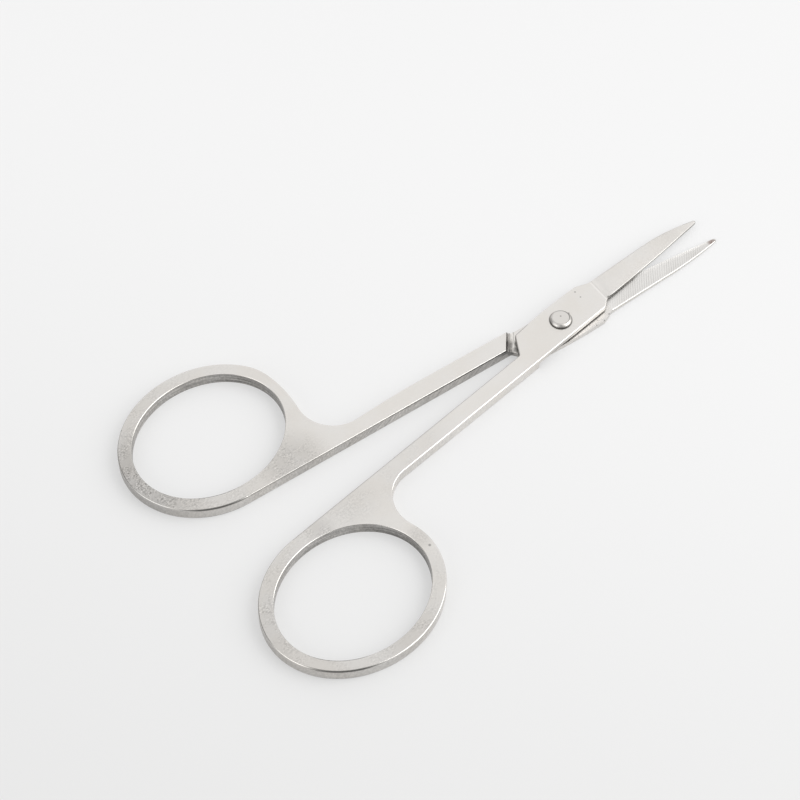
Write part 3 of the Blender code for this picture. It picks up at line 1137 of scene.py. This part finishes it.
def tumbled_steel(name, turned, darker_places, painted_dark_rims, roughness, paleness=1.0):
    """A place is given by its centre, where it starts to fade, where it ends, and its share."""
    bench = Bench(bpy.data.materials.new(name))
    on = Surface(bench, turned)
    tone = tumbled_faces(on, darker_places, paleness)
    for layer in (sheared_and_shaded_walls, milled_shoulder, outer_walls):
        tone = layer(on, tone)
    tone = rim_and_foot_shade(on, tone, painted_dark_rims)
    for layer in (round_the_rivet, crease_lines, ground_faces):
        tone = layer(on, tone)
    bench.feed("Base Color", steel_color(on, tone))

    dull = roughness + on.speckle * (0.10 - on.rim * 0.08) + on.wall * 0.08 - on.rim * 0.17
    dull = dull + on.inner_rim * 0.12 + on.worn * 0.05 + on.flecked * on.fleck * 0.25
    bench.feed("Roughness", dull + on.blade * 0.06 + on.shoulder * 0.12)
    bench.shader.inputs["Metallic"].default_value = 1.0
    height = on.speckle * (0.5 - on.rim * 0.4) + on.fleck * on.flecked * 0.8 - on.furrow * 1.2
    height = height + on.milled * on.shoulder * 2.5 + on.slanting * on.wall * 1.5
    height = height + on.lengthwise * on.hole_wall * on.wall * 3.0
    bench.feed("Normal", bench.node("ShaderNodeBump", {}, {
        "Height": height, "Strength": 0.3, "Distance": 0.02 * MM}))
    return bench.owner


# In each steel, the list after the darker places gives the runs of rim that are painted dark, as painted
# reflection and painted shade.
steels = {
    "lower_steel": tumbled_steel("tumbled_steel_lower", -lying_open / 2, [
        ((-60.5, 15.0, 1.9), 3.0, 11.0, 0.75),
        ((-42.5, 5.0, 1.9), 1.5, 6.0, 0.60),
    ], [((-54.2, 5.3, 1.82), 2.2, 5.0)], roughness=0.34),
    "upper_steel": tumbled_steel("tumbled_steel_upper", lying_open / 2, [
        ((-61.0, -13.0, 1.9), 2.0, 7.0, 0.20),
        ((-30.0, -4.2, 1.9), 3.0, 11.0, 0.25),
        ((-40.6, -4.5, 1.9), 1.0, 5.0, 0.25),
        ((-46.0, -26.0, 1.9), 2.0, 8.0, 0.45),
        ((-39.0, -20.0, 1.9), 1.0, 6.0, 0.25),
        ((-37.0, -14.5, 1.9), 0.6, 2.4, 0.45),
        ((-46.3, -5.6, 1.9), 0.6, 2.6, 0.45),
    ], [((-57.2, -23.5, 1.82), 2.6, 5.4), ((-5.2, 2.6, 1.85), 0.9, 1.7)], roughness=0.34),
    "rivet_steel": tumbled_steel("tumbled_steel_rivet", 0, [], [], roughness=0.38, paleness=0.93),
}
print("steels", sorted(steels))

# %% [markdown]
# ## Hand the pieces over to the frame
#
# Each piece rides on its body, so that it turns with it, hides the solid that it stands in for, and takes
# its finish.

# %% Ride, replace and finish
for piece, body, node, finish in (
    (lower, "lower", "lower_half", "lower_steel"),
    (upper, "upper", "upper_half", "upper_steel"),
    (rivet, "lower", "pivot_rivet", "rivet_steel"),
):
    piece.data.materials.clear()
    piece.data.materials.append(steels[finish])
    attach(piece, body)
    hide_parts(node)
    print(piece.name, "rides on", body, "with", len(piece.data.polygons), "faces")

# %% [markdown]
# ## The table and the light
#
# The pair lies on a white table in a soft, even light. Steel shows what surrounds it, so the
# table and the sky are part of its finish. The table glows a little by itself where it is seen
# or mirrored, but that glow lights nothing, so its white needs no stronger lamp.

# %% The table
table_size = 3.0
own_glow = 0.52
glow_strength = 1.03
pale, dim = (0.820, 0.820, 0.820, 1), (0.722, 0.722, 0.720, 1)

bpy.ops.object.select_all(action="DESELECT")
bpy.ops.mesh.primitive_plane_add(size=table_size, location=(0, 0, -0.02 * MM))
table = bpy.context.object
table.name = "white_table"
paper = Bench(bpy.data.materials.new("white_table"))
# The table's colour is painted dimmer toward the near side, a painted fall-off of the light.
dimmer = paper.toward(paper.node("ShaderNodeTexCoord", output=3), (-6.0, -3.9, 0))
paper_color = paper.blend(dimmer.between(-0.2, 0.9), pale, dim)
paper.feed("Base Color", paper_color)
paper.shader.inputs["Roughness"].default_value = 0.7
paper.shader.inputs["Specular IOR Level"].default_value = 0.2
seen = paper.node("ShaderNodeLightPath").socket.node
direct = Wire(paper, seen.outputs["Is Camera Ray"]) + Wire(paper, seen.outputs["Is Glossy Ray"])
direct = direct + Wire(paper, seen.outputs["Is Transmission Ray"])
sheen = paper.node("ShaderNodeEmission", {}, {"Color": paper_color, "Strength": glow_strength})
lit = paper.node("ShaderNodeMixShader", {}, {0: direct.between(0, 1) * own_glow,
                                             1: Wire(paper, paper.shader.outputs[0]), 2: sheen})
paper.tree.links.new(lit.socket, paper.tree.nodes["Material Output"].inputs["Surface"])
table.data.materials.append(paper.owner)
print("table", table.name)

# %% [markdown]
# The sky is a pale studio, a little darker toward the horizon and on the left. Steel needs
# something dark to mirror as well, so a tall grey screen stands in front of the pair, where the
# camera is, and the rims that mirror it draw the dark line below each ring. From behind, the
# flat faces mirror it too, so it is no darker than they can bear. Left of it is a small bright
# window, for the thin bright line on the rings' left rims, and a darker patch beyond that. A
# soft box, high on the right, brightens the rims.

# %% The sky
right = Vector((0.776, -0.631, 0))
up = Vector((0, 0, 1))
studio = bpy.data.worlds.new("pale_studio")
bpy.context.scene.world = studio
sky = Bench(studio, "Background")
looking = sky.node("ShaderNodeTexCoord")


def spot_at(turn, height, inner, outer):
    """A round spot, turned to the right of the camera and raised. All is in degrees."""
    level = right * sin(radians(turn)) - away * cos(radians(turn))
    heading = level * cos(radians(height)) + up * sin(radians(height))
    return sky.toward(looking, heading).between(cos(radians(outer)), cos(radians(inner)))


screen = spot_at(turn=12, height=20, inner=18, outer=32)
screen = (screen + spot_at(turn=10, height=50, inner=16, outer=28)).between(0.0, 1.0)
window = spot_at(turn=-52, height=28, inner=14, outer=28)
left_patch = spot_at(turn=-105, height=15, inner=14, outer=30)
horizon = sky.toward(looking, up).between(0.35, 0.0)
left_side = sky.toward(looking, -right).between(0.1, 0.8)
glow = (1.01 + sky.toward(looking, away) * 0.12) * (1 - horizon * 0.40) * (1 - left_side * 0.20)
glow = glow * (1 + window * 1.6) * (1 - left_patch * 0.6) * (1 - screen * 0.68)
sky.shader.inputs["Color"].default_value = (1.0, 1.0, 1.0, 1)
sky.feed("Strength", glow)
print("sky", studio.name)

# %% The soft box
box_side = 0.95
box_power = 5.8
box_place = right * 0.72 - away * 0.04 + up * 0.60

light = bpy.data.lights.new("right_box", "AREA")
light.shape, light.size, light.size_y, light.energy = "RECTANGLE", box_side, box_side, box_power
lamp = add_object("right_box", light)
lamp.location = box_place
lamp.rotation_euler = (-box_place).to_track_quat("-Z", "Y").to_euler()
print("one soft box", round(box_place.length, 2), "m away")

# %% [markdown]
# ## The camera
#
# The camera looks down at the table from a little over half way up, with a long lens, so the
# pair is hardly drawn together by distance.

# %% The camera
azimuth, elevation, roll = radians(-38.978), radians(55.4025), radians(-0.182)
aim = Vector((-25.0646, 4.2347, 0.95)) * MM
distance = 326.526 * MM
back = Vector((sin(azimuth) * cos(elevation), -cos(azimuth) * cos(elevation), sin(elevation)))
view = bpy.data.cameras.new("camera")
view.lens, view.sensor_width = 108.80, 36.0
view.clip_start, view.clip_end = 0.01, 20.0
camera = add_object("camera", view)
turn = Matrix.Rotation(azimuth, 4, "Z") @ Matrix.Rotation(pi / 2 - elevation, 4, "X")
camera.matrix_world = Matrix.Translation(aim + back * distance) @ turn @ Matrix.Rotation(roll, 4, "Z")
bpy.context.scene.camera = camera
bpy.context.scene.view_settings.view_transform = "Standard"
print("camera at", [round(value / MM, 1) for value in camera.location], "mm")
